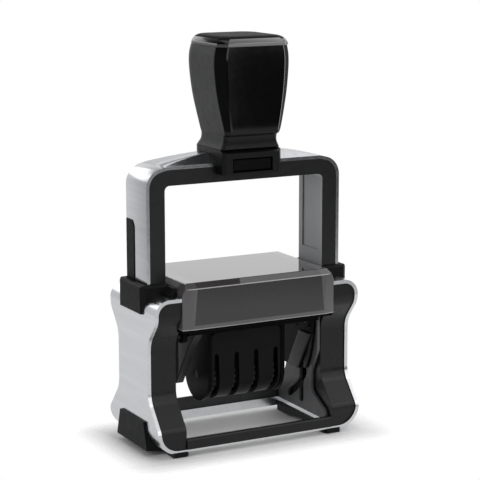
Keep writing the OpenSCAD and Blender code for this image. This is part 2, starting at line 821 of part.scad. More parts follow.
module soft_sleeve() color("#3f4144") shell(
    [for (k = [0 : grip_end]) sleeve_row(grip_row(k), 0)],
    [for (k = [0 : grip_end]) sleeve_row(grip_row(k), sleeve_t)]
);
module front_panel() color("#08080a") {
    loft([for (k = [3 * station_n : grip_end]) panel_ring(grip_row(k))]);
}

// Domed cap: the grip's top section, drawn in along a quarter ellipse
function cap_ring(s, a) =
    let (
        in = 4.2 * (1 - cos(a)),
        half = s[1] - in, front = s[2] + panel_t - in, rear = s[3] - in, r = s[5] - in
    )
    at_z(grip_z + grip_h + seat + cap_h * sin(a), concat(
        [[s[4] - half, -front], [half - s[4], -front], [half, s[4] - front]],
        rear_arc([0, half, front, rear, s[4], r], 0),
        [[-half, s[4] - front]]
    ));
module top_cap() color("#0c0c0d") {
    top = grip_row(grip_end);
    loft([for (a = [0 : 15 : 90]) cap_ring(top, a)]);
}

// Carriage: a plate under the die with end cheeks for the axles and the guide pins, the right one drawn down
cheek_t = 2;
skirt = 1.6;
text_t = 1.6;
frame_top = die_z - rubber_t - text_t - seat;
frame_z = frame_top - 2.4;
drop_t = 1;
drop_h = 21.2;
drop_z = axle_z - drop_h;
module carriage_frame() color("#1d1e20") {
    boss_r = pin_r + 2.8;
    pin_boss_r = pin_r + 1.6;
    web_y = crank_r + pin_boss_r;
    difference() {
        union() {
            span([-frame_x, -frame_y, frame_z], [frame_x, frame_y, frame_top]);
            along_x(frame_x - drop_t, frame_x) polygon([
                [-web_y, frame_z + cut], [-web_y, right_arm_z], [right_arm_y, drop_z],
                [web_y - 1.4, drop_z], [web_y - 1.4, frame_z + cut]
            ]);
            for (s = [-1, 1])
                along_x(s > 0 ? frame_x - cheek_t : -frame_x, s > 0 ? frame_x : cheek_t - frame_x) {
                    translate([0, axle_z]) circle(boss_r);
                    translate([-crank_r, axle_z]) circle(pin_boss_r);
                    translate([-crank_r, axle_z - pin_boss_r]) square([crank_r, 2 * pin_boss_r]);
                    translate([-crank_r - pin_boss_r, axle_z])
                        square([crank_r + pin_boss_r + boss_r, frame_top - axle_z]);
                }
            for (s = [-1, 1])
                span([-frame_x, s * (frame_y - skirt / 2) - skirt / 2, frame_z - 1.4],
                    [frame_x, s * (frame_y - skirt / 2) + skirt / 2, frame_top]);
        }
        span([-unit_x - end_t - seat, -unit_half - seat, 0], [unit_x + end_t + seat, unit_half + seat, die_z]);
        for (s = [-1, 1]) {
            translate([s * frame_x, 0, axle_z]) rotate([0, 90, 0])
                cylinder(r = pin_r + run_fit, h = 2 * cheek_t + cut, center = true);
            translate([s * frame_x, -crank_r, axle_z]) rotate([0, 90, 0])
                cylinder(r = pin_r + seat, h = 2 * cheek_t + cut, center = true);
        }
    }
}
// Slanted arm under the carriage at the left, and slanted bar on the right cheek's inner face
module left_arm() color("#2a2b2e") {
    arm_inset = 8.2;
    arm_t = 3.6;
    arm_h = 23;
    brow_h = 5.6;
    brow_y = -7.4;
    top_y = 3;
    toe_y = 4.6;
    heel_y = 12;
    arm_x = frame_x - arm_inset;
    along_x(-arm_x - arm_t, -arm_x) polygon([
        [skirt + seat - frame_y, frame_z - seat], [brow_y, axle_z - brow_h], [toe_y, axle_z - arm_h],
        [heel_y, axle_z - arm_h], [top_y, axle_z], [top_y, frame_z - seat]
    ]);
}
bar_brow_h = 5.2;
right_arm_z = axle_z - bar_brow_h;
right_arm_y = -3.3;
module right_arm() color("#3c3e41") {
    arm_t = 0.8;
    arm_w = 8.4;
    lean = 9.2;
    x1 = frame_x - drop_t - seat;
    along_x(x1 - arm_t, x1) polygon([
        [right_arm_y - lean, right_arm_z], [right_arm_y - lean + arm_w, right_arm_z],
        [right_arm_y + arm_w, drop_z], [right_arm_y, drop_z]
    ]);
}
module guide_pins() color("lightgray") both_sides() {
    translate([frame_x - cheek_t, -crank_r, axle_z]) rotate([0, 90, 0])
        cylinder(r = pin_r, h = wall_x - 0.3 - frame_x + cheek_t);
}

// Text plate and rubber die, with a window for the date
slot_x = unit_x - 1.4;
slot_y = 4.4;
module text_plate() color("#8f9296") {
    z0 = die_z - rubber_t - text_t;
    difference() {
        span([-die_w / 2, -die_d / 2, z0], [die_w / 2, die_d / 2, z0 + text_t]);
        span([-slot_x, -slot_y, 0], [slot_x, slot_y, die_z]);
    }
}
// Raised border and plain bars stand for the layout of a text plate
module rubber_die() color("#6a3b34") {
    margin = 1;
    sheet_z = die_z - rubber_t + seat;
    relief = 1.2;
    line = 0.8;
    x1 = die_w / 2 - 0.5;
    y1 = die_d / 2 - margin;
    difference() {
        union() {
            span([-x1, -y1, sheet_z], [x1, y1, die_z - relief]);
            difference() {
                span([-x1, -y1, sheet_z], [x1, y1, die_z]);
                span([line - x1, line - y1, die_z - relief], [x1 - line, y1 - line, die_z + cut]);
            }
            for (s = [-1, 1], row = [0, 1])
                span([-20 + 4 * row, s * (8 + 3.4 * row) - 0.7, sheet_z], [20 - 4 * row, s * (8 + 3.4 * row) + 0.7, die_z]);
        }
        span([-slot_x, -slot_y, 0], [slot_x, slot_y, die_z + cut]);
    }
}

// Side outline of the date unit: flat front and rear, round nose about the wheel axle
unit_half = nose_r + 0.4;
unit_top = axle_z + 4.2;
module unit_outline(r, top) {
    translate([0, wheel_z]) circle(r);
    translate([-r, wheel_z]) square([2 * r, top - wheel_z]);
}
// End plate of the date unit, slanted at the rear
module end_outline() {
    slant_z = wheel_z + 6;
    top_y = 4.4;
    translate([0, wheel_z]) circle(unit_half);
    polygon([
        [-unit_half, wheel_z], [unit_half, wheel_z], [unit_half, slant_z], [top_y, unit_top], [-unit_half, unit_top]
    ]);
}
// End plates of the date unit, tied by a web at the rear
module date_housing() color("#191a1c") {
    web_z0 = wheel_z + 5;
    web_z1 = wheel_z + 11;
    web_t = 1.2;
    difference() {
        union() {
            for (x = [-unit_x - end_t, unit_x])
                along_x(x, x + end_t) end_outline();
            span([-unit_x, nose_r - cover_wall - web_t, web_z0], [unit_x, nose_r - cover_wall - seat, web_z1]);
        }
        translate([-2 * unit_x, 0, wheel_z]) rotate([0, 90, 0]) cylinder(r = wheel_pin_r + seat, h = 4 * unit_x);
    }
}
// Slotted cover over the setting wheels
module date_cover() color("#222326") {
    top = axle_z - 0.6;
    slot_w = 1.8;
    slot_top = wheel_z + 9;
    slot_run = wheel_pitch * 1.5;
    difference() {
        along_x(-unit_x + seat, unit_x - seat) difference() {
            unit_outline(nose_r, top);
            translate([0, wheel_z]) circle(nose_r - cover_wall);
            translate([cover_wall - nose_r, wheel_z]) square([2 * (nose_r - cover_wall), top]);
            translate([0, wheel_z + 3]) square([2 * nose_r, top]);
        }
        for (x = [-slot_run : wheel_pitch : slot_run]) {
            span([x - slot_w / 2, -2 * nose_r, 0], [x + slot_w / 2, nose_r - 3, slot_top]);
            translate([x, 0, slot_top]) rotate([90, 0, 0]) cylinder(r = slot_w / 2, h = 2 * nose_r);
        }
    }
}
// Bridge between the end plates that holds the bands up to the die's face
module band_bridge() color("#d8d5cc") {
    top = die_z - date_band_t - 0.15;
    foot_z = axle_z + 1;
    shoulder = die_z - rubber_t - text_t - 1;
    r = 1;
    along_x(-unit_x + seat, unit_x - seat)
        polygon([[-bridge_y, foot_z], [bridge_y, foot_z], [bridge_y, shoulder], [-bridge_y, shoulder]]);
    along_x(0.3 - slot_x, slot_x - 0.3) polygon(rounded([
        [-bridge_y, foot_z, 0], [bridge_y, foot_z, 0], [bridge_y, top, r], [-bridge_y, top, r]
    ]));
}
module wheel_axle() color("lightgray") {
    translate([-unit_x - end_t, 0, wheel_z]) rotate([0, 90, 0]) cylinder(r = wheel_pin_r, h = 2 * (unit_x + end_t));
}

// Loop round a drum and over the bridge: points of the outline at a distance outside them
function loop_points(d) =
    let (
        r = drum_r + band_gap + d,
        half = bridge_y + band_gap + d,
        top = die_z - date_band_t + d,
        corner = 1 + d,
        c = [half - corner, top - corner - wheel_z],
        far = norm(c),
        lean = atan2(c[1], c[0]) - acos((r - corner) / far)
    )
    concat(
        [for (a = [180 - lean : (180 + 2 * lean) / 24 : 360 + lean]) [0, wheel_z] + r * arm(a)],
        [for (k = [0 : arc_n]) [c[0], wheel_z + c[1]] + corner * arm(lean + (90 - lean) * k / arc_n)],
        [for (k = [0 : arc_n]) [-c[0], wheel_z + c[1]] + corner * arm(90 + (90 - lean) * k / arc_n)]
    );
// Wheels from left to right: place of the toothed disc and the two ends of the drum
function disc_x(i) = (i - 2.5) * wheel_pitch;
function drum_ends(i) =
    let (
        outer = i == 1 || i == 4,
        near = disc_t / 2 + 1.5 * wheel_pitch,
        wide = [-near + disc_t, -wheel_pitch / 2 - disc_t / 2 - 0.7],
        narrow = [-wheel_pitch / 2 + disc_t / 2, -0.15],
        ends = outer ? wide : narrow
    )
    i < 3 ? ends : [-ends[1], -ends[0]];
module date_band(i) {
    ends = drum_ends(i);
    margin = 0.12;
    color("#2a2a2c") along_x(ends[0] + margin, ends[1] - margin) difference() {
        polygon(loop_points(date_band_t));
        polygon(loop_points(0));
    }
}
module date_wheel(i) {
    ends = drum_ends(i);
    tooth = 360 / wheel_teeth;
    tooth_h = 0.7;
    color("#3a3b3e") difference() {
        union() {
            along_x(disc_x(i) - disc_t / 2, disc_x(i) + disc_t / 2) translate([0, wheel_z]) polygon([
                for (k = [0 : wheel_teeth - 1], q = [0 : 3])
                    (disc_r - (q > 1 ? tooth_h : 0)) * arm(tooth * (k + q / 4))
            ]);
            along_x(ends[0], ends[1]) translate([0, wheel_z]) circle(drum_r);
        }
        translate([-unit_x, 0, wheel_z]) rotate([0, 90, 0]) cylinder(r = wheel_pin_r + run_fit, h = 2 * unit_x);
    }
}
module date_band_1() date_band(1);
module date_band_2() date_band(2);
module date_band_3() date_band(3);
module date_band_4() date_band(4);
module date_wheel_1() date_wheel(1);
module date_wheel_2() date_wheel(2);
module date_wheel_3() date_wheel(3);
module date_wheel_4() date_wheel(4);

body_band();
left_column();
right_column();
front_rail();
rear_rail();
left_collar();
right_collar();
left_foot();
right_foot();
left_cam_plate();
right_cam_plate();
pad_housing();
pad_cover();
spring_posts();
left_spring();
right_spring();
pad_tray();
ink_pad();
bow_strap();
bow_liner();
left_leg_insert();
right_leg_insert();
neck_bracket();
neck_screws();
grip_core();
soft_sleeve();
front_panel();
top_cap();
axle_pins();
lock_button();
carriage_frame();
left_arm();
right_arm();
guide_pins();
text_plate();
rubber_die();
date_housing();
date_cover();
band_bridge();
wheel_axle();
date_band_1();
date_band_2();
date_band_3();
date_band_4();
date_wheel_1();
date_wheel_2();
date_wheel_3();
date_wheel_4();
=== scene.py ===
import json
import math
from collections import namedtuple
from contextlib import contextmanager
from functools import reduce

import bmesh
import bpy
from mathutils import Matrix, Vector


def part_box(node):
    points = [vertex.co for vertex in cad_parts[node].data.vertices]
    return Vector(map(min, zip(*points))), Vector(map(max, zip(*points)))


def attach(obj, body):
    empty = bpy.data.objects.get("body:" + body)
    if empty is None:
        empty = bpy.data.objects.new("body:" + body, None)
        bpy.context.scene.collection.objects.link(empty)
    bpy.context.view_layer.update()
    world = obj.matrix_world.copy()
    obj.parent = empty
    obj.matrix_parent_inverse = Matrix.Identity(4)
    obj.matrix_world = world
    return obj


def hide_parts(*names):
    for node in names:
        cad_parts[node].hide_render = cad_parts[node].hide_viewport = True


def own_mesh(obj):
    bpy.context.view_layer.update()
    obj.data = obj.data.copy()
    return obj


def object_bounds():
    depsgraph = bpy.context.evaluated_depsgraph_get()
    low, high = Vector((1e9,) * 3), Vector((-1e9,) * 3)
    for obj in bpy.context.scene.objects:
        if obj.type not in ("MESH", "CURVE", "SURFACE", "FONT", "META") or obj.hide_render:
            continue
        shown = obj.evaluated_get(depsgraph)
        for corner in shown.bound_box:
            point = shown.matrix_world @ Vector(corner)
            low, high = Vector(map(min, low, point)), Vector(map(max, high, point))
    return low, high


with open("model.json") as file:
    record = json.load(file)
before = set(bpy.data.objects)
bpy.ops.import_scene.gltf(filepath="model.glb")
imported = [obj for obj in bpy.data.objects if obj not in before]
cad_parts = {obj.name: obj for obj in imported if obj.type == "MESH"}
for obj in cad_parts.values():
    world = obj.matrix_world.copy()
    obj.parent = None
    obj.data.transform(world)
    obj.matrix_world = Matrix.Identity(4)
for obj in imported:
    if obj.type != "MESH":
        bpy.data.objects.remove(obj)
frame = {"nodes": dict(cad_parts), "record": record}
cad_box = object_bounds()

MM = 0.001
RECORD = frame["record"]
BODY_OF = {node: body for body, nodes in RECORD["behaviour"]["bodies"].items() for node in nodes}
SLOT_OF = {part["node"]: part["material_slot"] for part in RECORD["subparts"]}
WHITE = (1.0, 1.0, 1.0)
BLACK = (0.0, 0.0, 0.0)


# Node trees

# The span of a noise that is put to use, from its low patches to its high ones
NOISE_LOW = 0.3
NOISE_HIGH = 0.7


class Tree:
    """A node tree, with a few helpers to wire it."""

    def __init__(self, tree):
        self.tree = tree

    def put(self, socket, value):
        """A link into a socket, or a constant set on it."""
        if isinstance(value, bpy.types.NodeSocket):
            self.tree.links.new(value, socket)
        else:
            socket.default_value = value

    def node(self, kind, **sockets):
        new = self.tree.nodes.new(kind)
        for key, value in sockets.items():
            self.put(new.inputs[key], value)
        return new

    def axes(self, vector):
        """The x, y and z of a vector."""
        return self.node("ShaderNodeSeparateXYZ", Vector=vector).outputs

    def calc(self, operation, *values):
        new = self.node("ShaderNodeMath")
        new.operation = operation
        for socket, value in zip(new.inputs, values):
            self.put(socket, value)
        return new.outputs[0]

    def product(self, *values):
        return reduce(lambda a, b: self.calc("MULTIPLY", a, b), values)

    def highest(self, *values):
        return reduce(lambda a, b: self.calc("MAXIMUM", a, b), values)

    def ramp(self, value, low, high, start=NOISE_LOW, end=NOISE_HIGH, shape="LINEAR"):
        """Low up to the start of a span of values, high from its end on, and a ramp between them."""
        new = self.node("ShaderNodeMapRange", Value=value)
        new.interpolation_type = shape
        for key, limit in (("From Min", start), ("From Max", end), ("To Min", low), ("To Max", high)):
            self.put(new.inputs[key], limit)
        return new.outputs[0]


class Shader(Tree):
    """A principled material, with helpers for procedural detail."""

    def __init__(self, name):
        self.mat = bpy.data.materials.new(name)
        self.mat.use_nodes = True
        super().__init__(self.mat.node_tree)
        self.bsdf = self.tree.nodes["Principled BSDF"]
        coords = self.node("ShaderNodeTexCoord").outputs
        self.coord = coords["Object"]
        self.normal = coords["Normal"]

    def set(self, **sockets):
        for key, value in sockets.items():
            self.put(self.bsdf.inputs[key.replace("_", " ")], value)

    def mix(self, share, a, b):
        """A colour between two colours, at a share of the second."""
        new = self.node("ShaderNodeMix")
        new.data_type = "RGBA"
        self.put(new.inputs[0], share)
        for socket, value in ((new.inputs[6], a), (new.inputs[7], b)):
            self.put(socket, (*value, 1.0) if isinstance(value, tuple) else value)
        return new.outputs[2]

    def noise(self, scale, detail=3.0, stretch=(1, 1, 1)):
        vector = self.node("ShaderNodeMapping", Vector=self.coord, Scale=stretch).outputs[0]
        return self.node("ShaderNodeTexNoise", Vector=vector, Scale=scale, Detail=detail).outputs["Fac"]

    def uneven(self, low, high, scale, detail=3.0, stretch=(1, 1, 1)):
        """A value that drifts between two limits over the surface."""
        return self.ramp(self.noise(scale, detail, stretch), low, high)

    def relief(self, height, strength, depth):
        """Relief on the surface, added to any relief that is already there."""
        normal = self.bsdf.inputs["Normal"]
        new = self.node("ShaderNodeBump", Height=height, Strength=strength, Distance=depth)
        if normal.is_linked:
            self.put(new.inputs["Normal"], normal.links[0].from_socket)
        self.put(normal, new.outputs[0])


# Materials

# Scales of the noises, in features per metre, from broad to fine
FLOOR_TONE = 8.0
FLOOR_SHEEN = 40.0
COVER_TONE = 60.0
TONE = 160.0
COVER_SHEEN = 300.0
SHEEN = 420.0
FIBRE_TONE = 700.0
BRUSH_SHEEN = 900.0
GLOSS_GRAIN = 900.0
BRUSH_MARKS = 1400.0
RUBBER_GRAIN = 1800.0
GRAIN = 2600.0
SOFT_GRAIN = 3600.0

# Depths of the reliefs, in millimetres
BRUSH_DEPTH = 0.02
GRAIN_DEPTH = 0.04
FIBRE_DEPTH = 0.3

# Stretch of the brush marks on metal
ALONG_Y = (1, 0.06, 1)
ALONG_X = (0.15, 1, 1)


def plastic(name, low, high, rough, level, grain=GRAIN, relief=0.1, coat=0.0):
    """A moulded surface: a little uneven in colour and sheen, with a fine grain."""
    s = Shader(name)
    s.set(Base_Color=s.mix(s.uneven(0.0, 1.0, TONE), low, high), Roughness=s.uneven(*rough, SHEEN),
          Specular_IOR_Level=level, Coat_Weight=coat, Coat_Roughness=0.04)
    s.relief(s.noise(grain, detail=2.0), strength=relief, depth=GRAIN_DEPTH * MM)
    return s.mat


def metal(name, low, high, rough, stretch, crown=0.0):
    """A metal surface, with brush marks along its stretch and a slight crown across its depth."""
    s = Shader(name)
    if crown:
        y = s.axes(s.coord)[1]
        s.relief(s.product(y, y, -crown), strength=1.0, depth=1.0)
    s.set(Base_Color=s.mix(s.uneven(0.0, 1.0, SHEEN, stretch=stretch), low, high), Metallic=1.0,
          Roughness=s.uneven(*rough, BRUSH_SHEEN, detail=4.0, stretch=stretch))
    s.relief(s.noise(BRUSH_MARKS, detail=2.0, stretch=stretch), strength=0.04, depth=BRUSH_DEPTH * MM)
    return s.mat


def felt(name, low, high):
    """A fibrous pad, wet with ink."""
    s = Shader(name)
    s.set(Base_Color=s.mix(s.uneven(0.0, 1.0, FIBRE_TONE, detail=5.0), low, high), Roughness=0.95,
          Sheen_Weight=0.2)
    s.relief(s.noise(GRAIN, detail=5.0), strength=0.8, depth=FIBRE_DEPTH * MM)
    return s.mat


# A face is on the inside of the loop, and takes the painted reflection, where its facing times its place, in
# metres, is less than this
INSIDE = -0.02


def liner(name, low, high, painted_reflection):
    """A black moulding with paler walls on the inside of the loop, a painted reflection."""
    s = Shader(name)
    facing = s.product(s.axes(s.normal)[0], s.axes(s.coord)[0])
    black = s.mix(s.uneven(0.0, 1.0, TONE), low, high)
    # painted reflection: the walls on the inside of the loop are paler
    s.set(Base_Color=s.mix(s.calc("LESS_THAN", facing, INSIDE), black, painted_reflection),
          Roughness=s.uneven(0.3, 0.38, SHEEN), Specular_IOR_Level=0.4)
    s.relief(s.noise(GRAIN, detail=2.0), strength=0.1, depth=GRAIN_DEPTH * MM)
    return s.mat


# Smoked cover, in millimetres from its own box, dark smoke with painted light on it: a pale strip along its
# foot with a painted highlight on its rim, a sloped pale crest with a painted highlight along the fold under
# it, pale ends that lean inward as they rise, and a painted highlight along the brow at each end of its top
STRIP_H = 1.7
RIM_H = 0.35
CREST_H = 1.9
CREST_D = 2.9
CREST_SHARE = 0.5
FOLD_D = 0.4
END_W = 4.6
END_LEAN = 0.09
BROW_IN = 2.2
BROW_H = 0.3
LINE_W = 0.22
BLUR = 0.15


def smoked(name, dark, pale, painted_highlight):
    """Smoky plastic: dark where the pad's frame backs it, with painted light along its ends, crest and foot,
    and painted highlights along its rim, fold and brows.
    """
    s = Shader(name)
    (_, y0, z0), (x1, _, z1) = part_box("pad_cover")
    x, y, z = s.axes(s.coord)
    wide = s.calc("ABSOLUTE", x)

    def above(value, limit):
        return s.ramp(value, 0.0, 1.0, limit - BLUR * MM, limit + BLUR * MM)

    def below(value, limit):
        return s.calc("SUBTRACT", 1.0, above(value, limit))

    def beside(value, limit):
        off = s.calc("ABSOLUTE", s.calc("SUBTRACT", value, limit))
        return s.ramp(off, 1.0, 0.0, LINE_W * MM / 2, LINE_W * MM)

    crest_z = z1 - CREST_H * MM
    lean = s.product(s.calc("SUBTRACT", z, z0), END_LEAN)
    # painted light: the ends, the crest and the foot strip are paler
    end = above(s.calc("ADD", wide, lean), x1 - END_W * MM)
    crest = s.product(above(z, crest_z), below(y, y0 + CREST_D * MM), CREST_SHARE)
    strip = below(z, z0 + STRIP_H * MM)
    # painted highlights: thin light lines along the fold, the brows and the rim
    fold = s.product(beside(z, crest_z), below(y, y0 + FOLD_D * MM))
    brow = s.product(beside(wide, x1 - BROW_IN * MM), above(z, z1 - BROW_H * MM))
    rim = below(z, z0 + RIM_H * MM)
    cloud = s.uneven(0.0, 1.0, COVER_TONE)
    body = s.mix(s.highest(end, crest, strip), s.mix(cloud, *dark), s.mix(cloud, *pale))
    s.set(Base_Color=s.mix(s.highest(fold, brow, rim), body, painted_highlight),
          Roughness=s.uneven(0.05, 0.08, COVER_SHEEN), Specular_IOR_Level=0.12,
          Coat_Weight=1.0, Coat_IOR=1.5, Coat_Roughness=0.03)
    return s.mat


# The finish of each material slot
MATERIAL = {
    "satin_silver": metal("satin silver", low=(0.60, 0.61, 0.63), high=(0.65, 0.66, 0.68),
                          rough=(0.20, 0.26), stretch=ALONG_Y),
    "black_moulding": plastic("black moulding", low=(0.005, 0.0052, 0.0056), high=(0.007, 0.0072, 0.0077),
                              rough=(0.26, 0.34), level=0.3),
    "cam_black": plastic("cam black", low=(0.006, 0.0062, 0.0066), high=(0.0085, 0.0087, 0.0092),
                         rough=(0.36, 0.46), level=0.08),
    # the cover's pale tones are painted light and its brightest tone is a painted highlight
    "smoked_cover": smoked("smoked cover", dark=((0.018, 0.0162, 0.0168), (0.020, 0.0180, 0.0187)),
                           pale=((0.092, 0.087, 0.091), (0.108, 0.102, 0.107)), painted_highlight=(0.42, 0.41, 0.42)),
    "tray_grey": plastic("tray grey", low=(0.022, 0.022, 0.024), high=(0.028, 0.028, 0.03),
                         rough=(0.4, 0.5), level=0.4),
    "felt": felt("inked felt", low=(0.008, 0.009, 0.016), high=(0.03, 0.032, 0.05)),
    "gloss_black": plastic("gloss black", low=(0.0010, 0.0010, 0.0011), high=(0.0016, 0.0016, 0.0018),
                           rough=(0.13, 0.17), level=0.4, grain=GLOSS_GRAIN, relief=0.02, coat=0.2),
    "soft_grey": plastic("soft touch", low=(0.030, 0.031, 0.034), high=(0.038, 0.039, 0.042),
                         rough=(0.5, 0.6), level=0.35, grain=SOFT_GRAIN, relief=0.4),
    "steel": metal("drawn steel", low=(0.55, 0.55, 0.56), high=(0.62, 0.62, 0.63),
                   rough=(0.22, 0.3), stretch=ALONG_X),
    "plate_grey": plastic("plate grey", low=(0.24, 0.25, 0.26), high=(0.28, 0.29, 0.3),
                          rough=(0.4, 0.5), level=0.4),
    "die_rubber": plastic("die rubber", low=(0.13, 0.045, 0.038), high=(0.17, 0.06, 0.05),
                          rough=(0.6, 0.75), level=0.3, grain=RUBBER_GRAIN, relief=0.5),
    "band_rubber": plastic("band rubber", low=(0.014, 0.014, 0.015), high=(0.02, 0.02, 0.021),
                           rough=(0.6, 0.75), level=0.3, grain=RUBBER_GRAIN, relief=0.5),
    "bridge_white": plastic("bridge white", low=(0.56, 0.54, 0.49), high=(0.62, 0.6, 0.55),
                            rough=(0.4, 0.5), level=0.4),
    "wheel_grey": plastic("wheel grey", low=(0.02, 0.021, 0.023), high=(0.026, 0.027, 0.029),
                          rough=(0.4, 0.5), level=0.4),
}

# Finishes of pieces and faces that differ from the rest of their slot; some are paler or darker copies of a
# slot's finish that paint light or shade, as noted at each
matte = plastic("matte black", low=(0.006, 0.0062, 0.0067), high=(0.008, 0.0083, 0.0089),
                rough=(0.5, 0.6), level=0.12)
satin = plastic("satin black", low=(0.006, 0.0062, 0.0066), high=(0.008, 0.0083, 0.0088),
                rough=(0.4, 0.48), level=0.02)
lacquer = plastic("lacquer black", low=(0.0010, 0.0010, 0.0011), high=(0.0016, 0.0016, 0.0018),
                  rough=(0.13, 0.17), level=1.0, grain=GLOSS_GRAIN, relief=0.02, coat=1.0)
bracket = plastic("bracket black", low=(0.004, 0.0041, 0.0044), high=(0.0055, 0.0056, 0.006),
                  rough=(0.36, 0.44), level=0.22)
# painted light: a paler copy of the cam black, for the right cam plate alone
plate = plastic("plate black", low=(0.11, 0.112, 0.116), high=(0.13, 0.132, 0.136),
                rough=(0.36, 0.46), level=0.2)
# painted light: a paler copy of the black moulding, for the rear rail
painted_light_rail = plastic("ledge black", low=(0.050, 0.051, 0.053), high=(0.062, 0.063, 0.065),
                rough=(0.36, 0.46), level=0.3)
# painted shade: a darker copy of the black moulding, for pieces deep inside the stamp
shade = plastic("shade black", low=(0.002, 0.0021, 0.0023), high=(0.003, 0.0031, 0.0034),
                rough=(0.36, 0.46), level=0.04)
dark_steel = metal("blackened steel", low=(0.035, 0.035, 0.037), high=(0.05, 0.05, 0.053),
                   rough=(0.3, 0.4), stretch=ALONG_X)
FINISH = {
    **dict.fromkeys(("left_collar", "right_collar", "left_foot", "right_foot"), matte),
    **dict.fromkeys(("left_leg_insert", "right_leg_insert"), matte),
    **dict.fromkeys(("top_cap", "lock_button", "grip_core"), satin),
    **dict.fromkeys(("wheel_axle", "axle_pins", "guide_pins"), dark_steel),
    # painted shade: these inner pieces take the darker copy of the black moulding
    **dict.fromkeys(("carriage_frame", "date_housing", "pad_housing"), shade),
    "neck_bracket": bracket,
    # painted light: the rear rail has a paler copy of the black moulding
    "rear_rail": painted_light_rail,
    # painted light: the right cam plate has a paler copy of the cam black
    "right_cam_plate": plate,
    # painted shade: the strap's silver is a darker copy of the band's silver
    "bow_strap": metal("strap silver", low=(0.50, 0.51, 0.53), high=(0.55, 0.56, 0.58),
                       rough=(0.18, 0.24), stretch=ALONG_Y, crown=6.0),
    # painted reflection: the liner's walls on the inside of the loop are paler
    "bow_liner": liner("liner black", low=(0.006, 0.0062, 0.0067), high=(0.008, 0.0083, 0.0089),
                       painted_reflection=(0.42, 0.43, 0.45)),
}


def finish(node):
    """The finish of a piece, its own or its slot's."""
    return FINISH.get(node, MATERIAL[SLOT_OF[node]])


# Shapes

# Two points closer than this are one, in metres
SAME_POINT = 2e-6
# Faces that turn less than this are one flat face, in degrees
SAME_PLANE = 0.6
# Points nearer than this to a height lie on it, in millimetres
SAME_HEIGHT = 0.01
# Steps in a quarter circle
ARC = 10


def add(name, data):
    """A new object of the scene."""
    obj = bpy.data.objects.new(name, data)
    bpy.context.scene.collection.objects.link(obj)
    return obj


def place(obj, node):
    """A piece that stands for a CAD node, attached to the node's body, with the node hidden."""
    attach(obj, BODY_OF[node])
    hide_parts(node)
    return obj


@contextmanager
def editing(mesh):
    """A mesh opened for edits, which are written back at the end."""
    bm = bmesh.new()
    bm.from_mesh(mesh)
    yield bm
    bm.to_mesh(mesh)
    bm.free()


def smooth(mesh, angle):
    """Smooth shading that keeps edges sharper than an angle."""
    with editing(mesh) as bm:
        for face in bm.faces:
            face.smooth = True
        for edge in bm.edges:
            edge.smooth = len(edge.link_faces) == 2 and edge.calc_face_angle(0.0) < math.radians(angle)


def weigh(mesh, angle, flush_z):
    """Bevel weights on sharp edges, apart from those at a height where another piece goes on flush."""
    with editing(mesh) as bm:
        weight = bm.edges.layers.float.new("bevel_weight_edge")
        for edge in bm.edges:
            flush = all(abs(vert.co.z - flush_z) < SAME_HEIGHT * MM for vert in edge.verts)
            edge[weight] = float(not flush and edge.calc_face_angle(0.0) > math.radians(angle))


def soften(obj, width, segments, angle, flush_z=None):
    """Rounded edges, of a width in millimetres, where faces meet at more than an angle."""
    bevel = obj.modifiers.new("edges", "BEVEL")
    bevel.width = width * MM
    bevel.segments = segments
    bevel.limit_method = "ANGLE"
    bevel.angle_limit = math.radians(angle)
    bevel.use_clamp_overlap = True
    bevel.miter_outer = "MITER_ARC"
    if flush_z is not None:
        weigh(obj.data, angle, flush_z)
        bevel.limit_method = "WEIGHT"
    normals = obj.modifiers.new("normals", "WEIGHTED_NORMAL")
    normals.keep_sharp = True


def paint(obj, surface, where):
    """Another finish on the faces that a test picks."""
    obj.data.materials.append(surface)
    for face in obj.data.polygons:
        if where(face):
            face.material_index = len(obj.data.materials) - 1


def corner(cx, cy, r, start):
    """Points along a quarter circle, from an angle in degrees."""
    turns = [math.radians(start + 90.0 * k / ARC) for k in range(ARC + 1)]
    return [(cx + r * math.cos(turn), cy + r * math.sin(turn)) for turn in turns]


def prism(outline, y0, y1):
    """A closed mesh from an outline of (x, z) points in millimetres, drawn along Y."""
    n = len(outline)
    verts = [(x * MM, y * MM, z * MM) for y in (y0, y1) for x, z in outline]
    sides = [(i, (i + 1) % n, n + (i + 1) % n, n + i) for i in range(n)]
    mesh = bpy.data.meshes.new("cutter")
    mesh.from_pydata(verts, [], [tuple(range(n - 1, -1, -1)), tuple(range(n, 2 * n)), *sides])
    with editing(mesh) as bm:
        bmesh.ops.recalc_face_normals(bm, faces=bm.faces)
    return mesh


def carve(mesh, cutters):
    """The mesh with each cutter taken away from it."""
    for cutter in cutters:
        blank = add("blank", mesh)
        tool = add("tool", cutter)
        cut = blank.modifiers.new("cut", "BOOLEAN")
        cut.operation = "DIFFERENCE"
        cut.solver = "EXACT"
        cut.object = tool
        mesh = bpy.data.meshes.new_from_object(blank.evaluated_get(bpy.context.evaluated_depsgraph_get()))
        for obj in (blank, tool):
            bpy.data.objects.remove(obj)
    return mesh


def dress(node, width=0.0, segments=2, angle=38, merge=True, cutters=()):
    """A copy of a CAD node with flat faces merged, softened edges and its own finish."""
    mesh = carve(frame["nodes"][node].data.copy(), cutters)
    with editing(mesh) as bm:
        bmesh.ops.remove_doubles(bm, verts=bm.verts, dist=SAME_POINT)
        if merge:
            bmesh.ops.dissolve_limit(bm, angle_limit=math.radians(SAME_PLANE), verts=bm.verts, edges=bm.edges)
    smooth(mesh, angle)
    mesh.materials.clear()
    mesh.materials.append(finish(node))
    obj = add(node + "_shown", mesh)
    if width > 0:
        soften(obj, width, segments, angle)
    return place(obj, node)


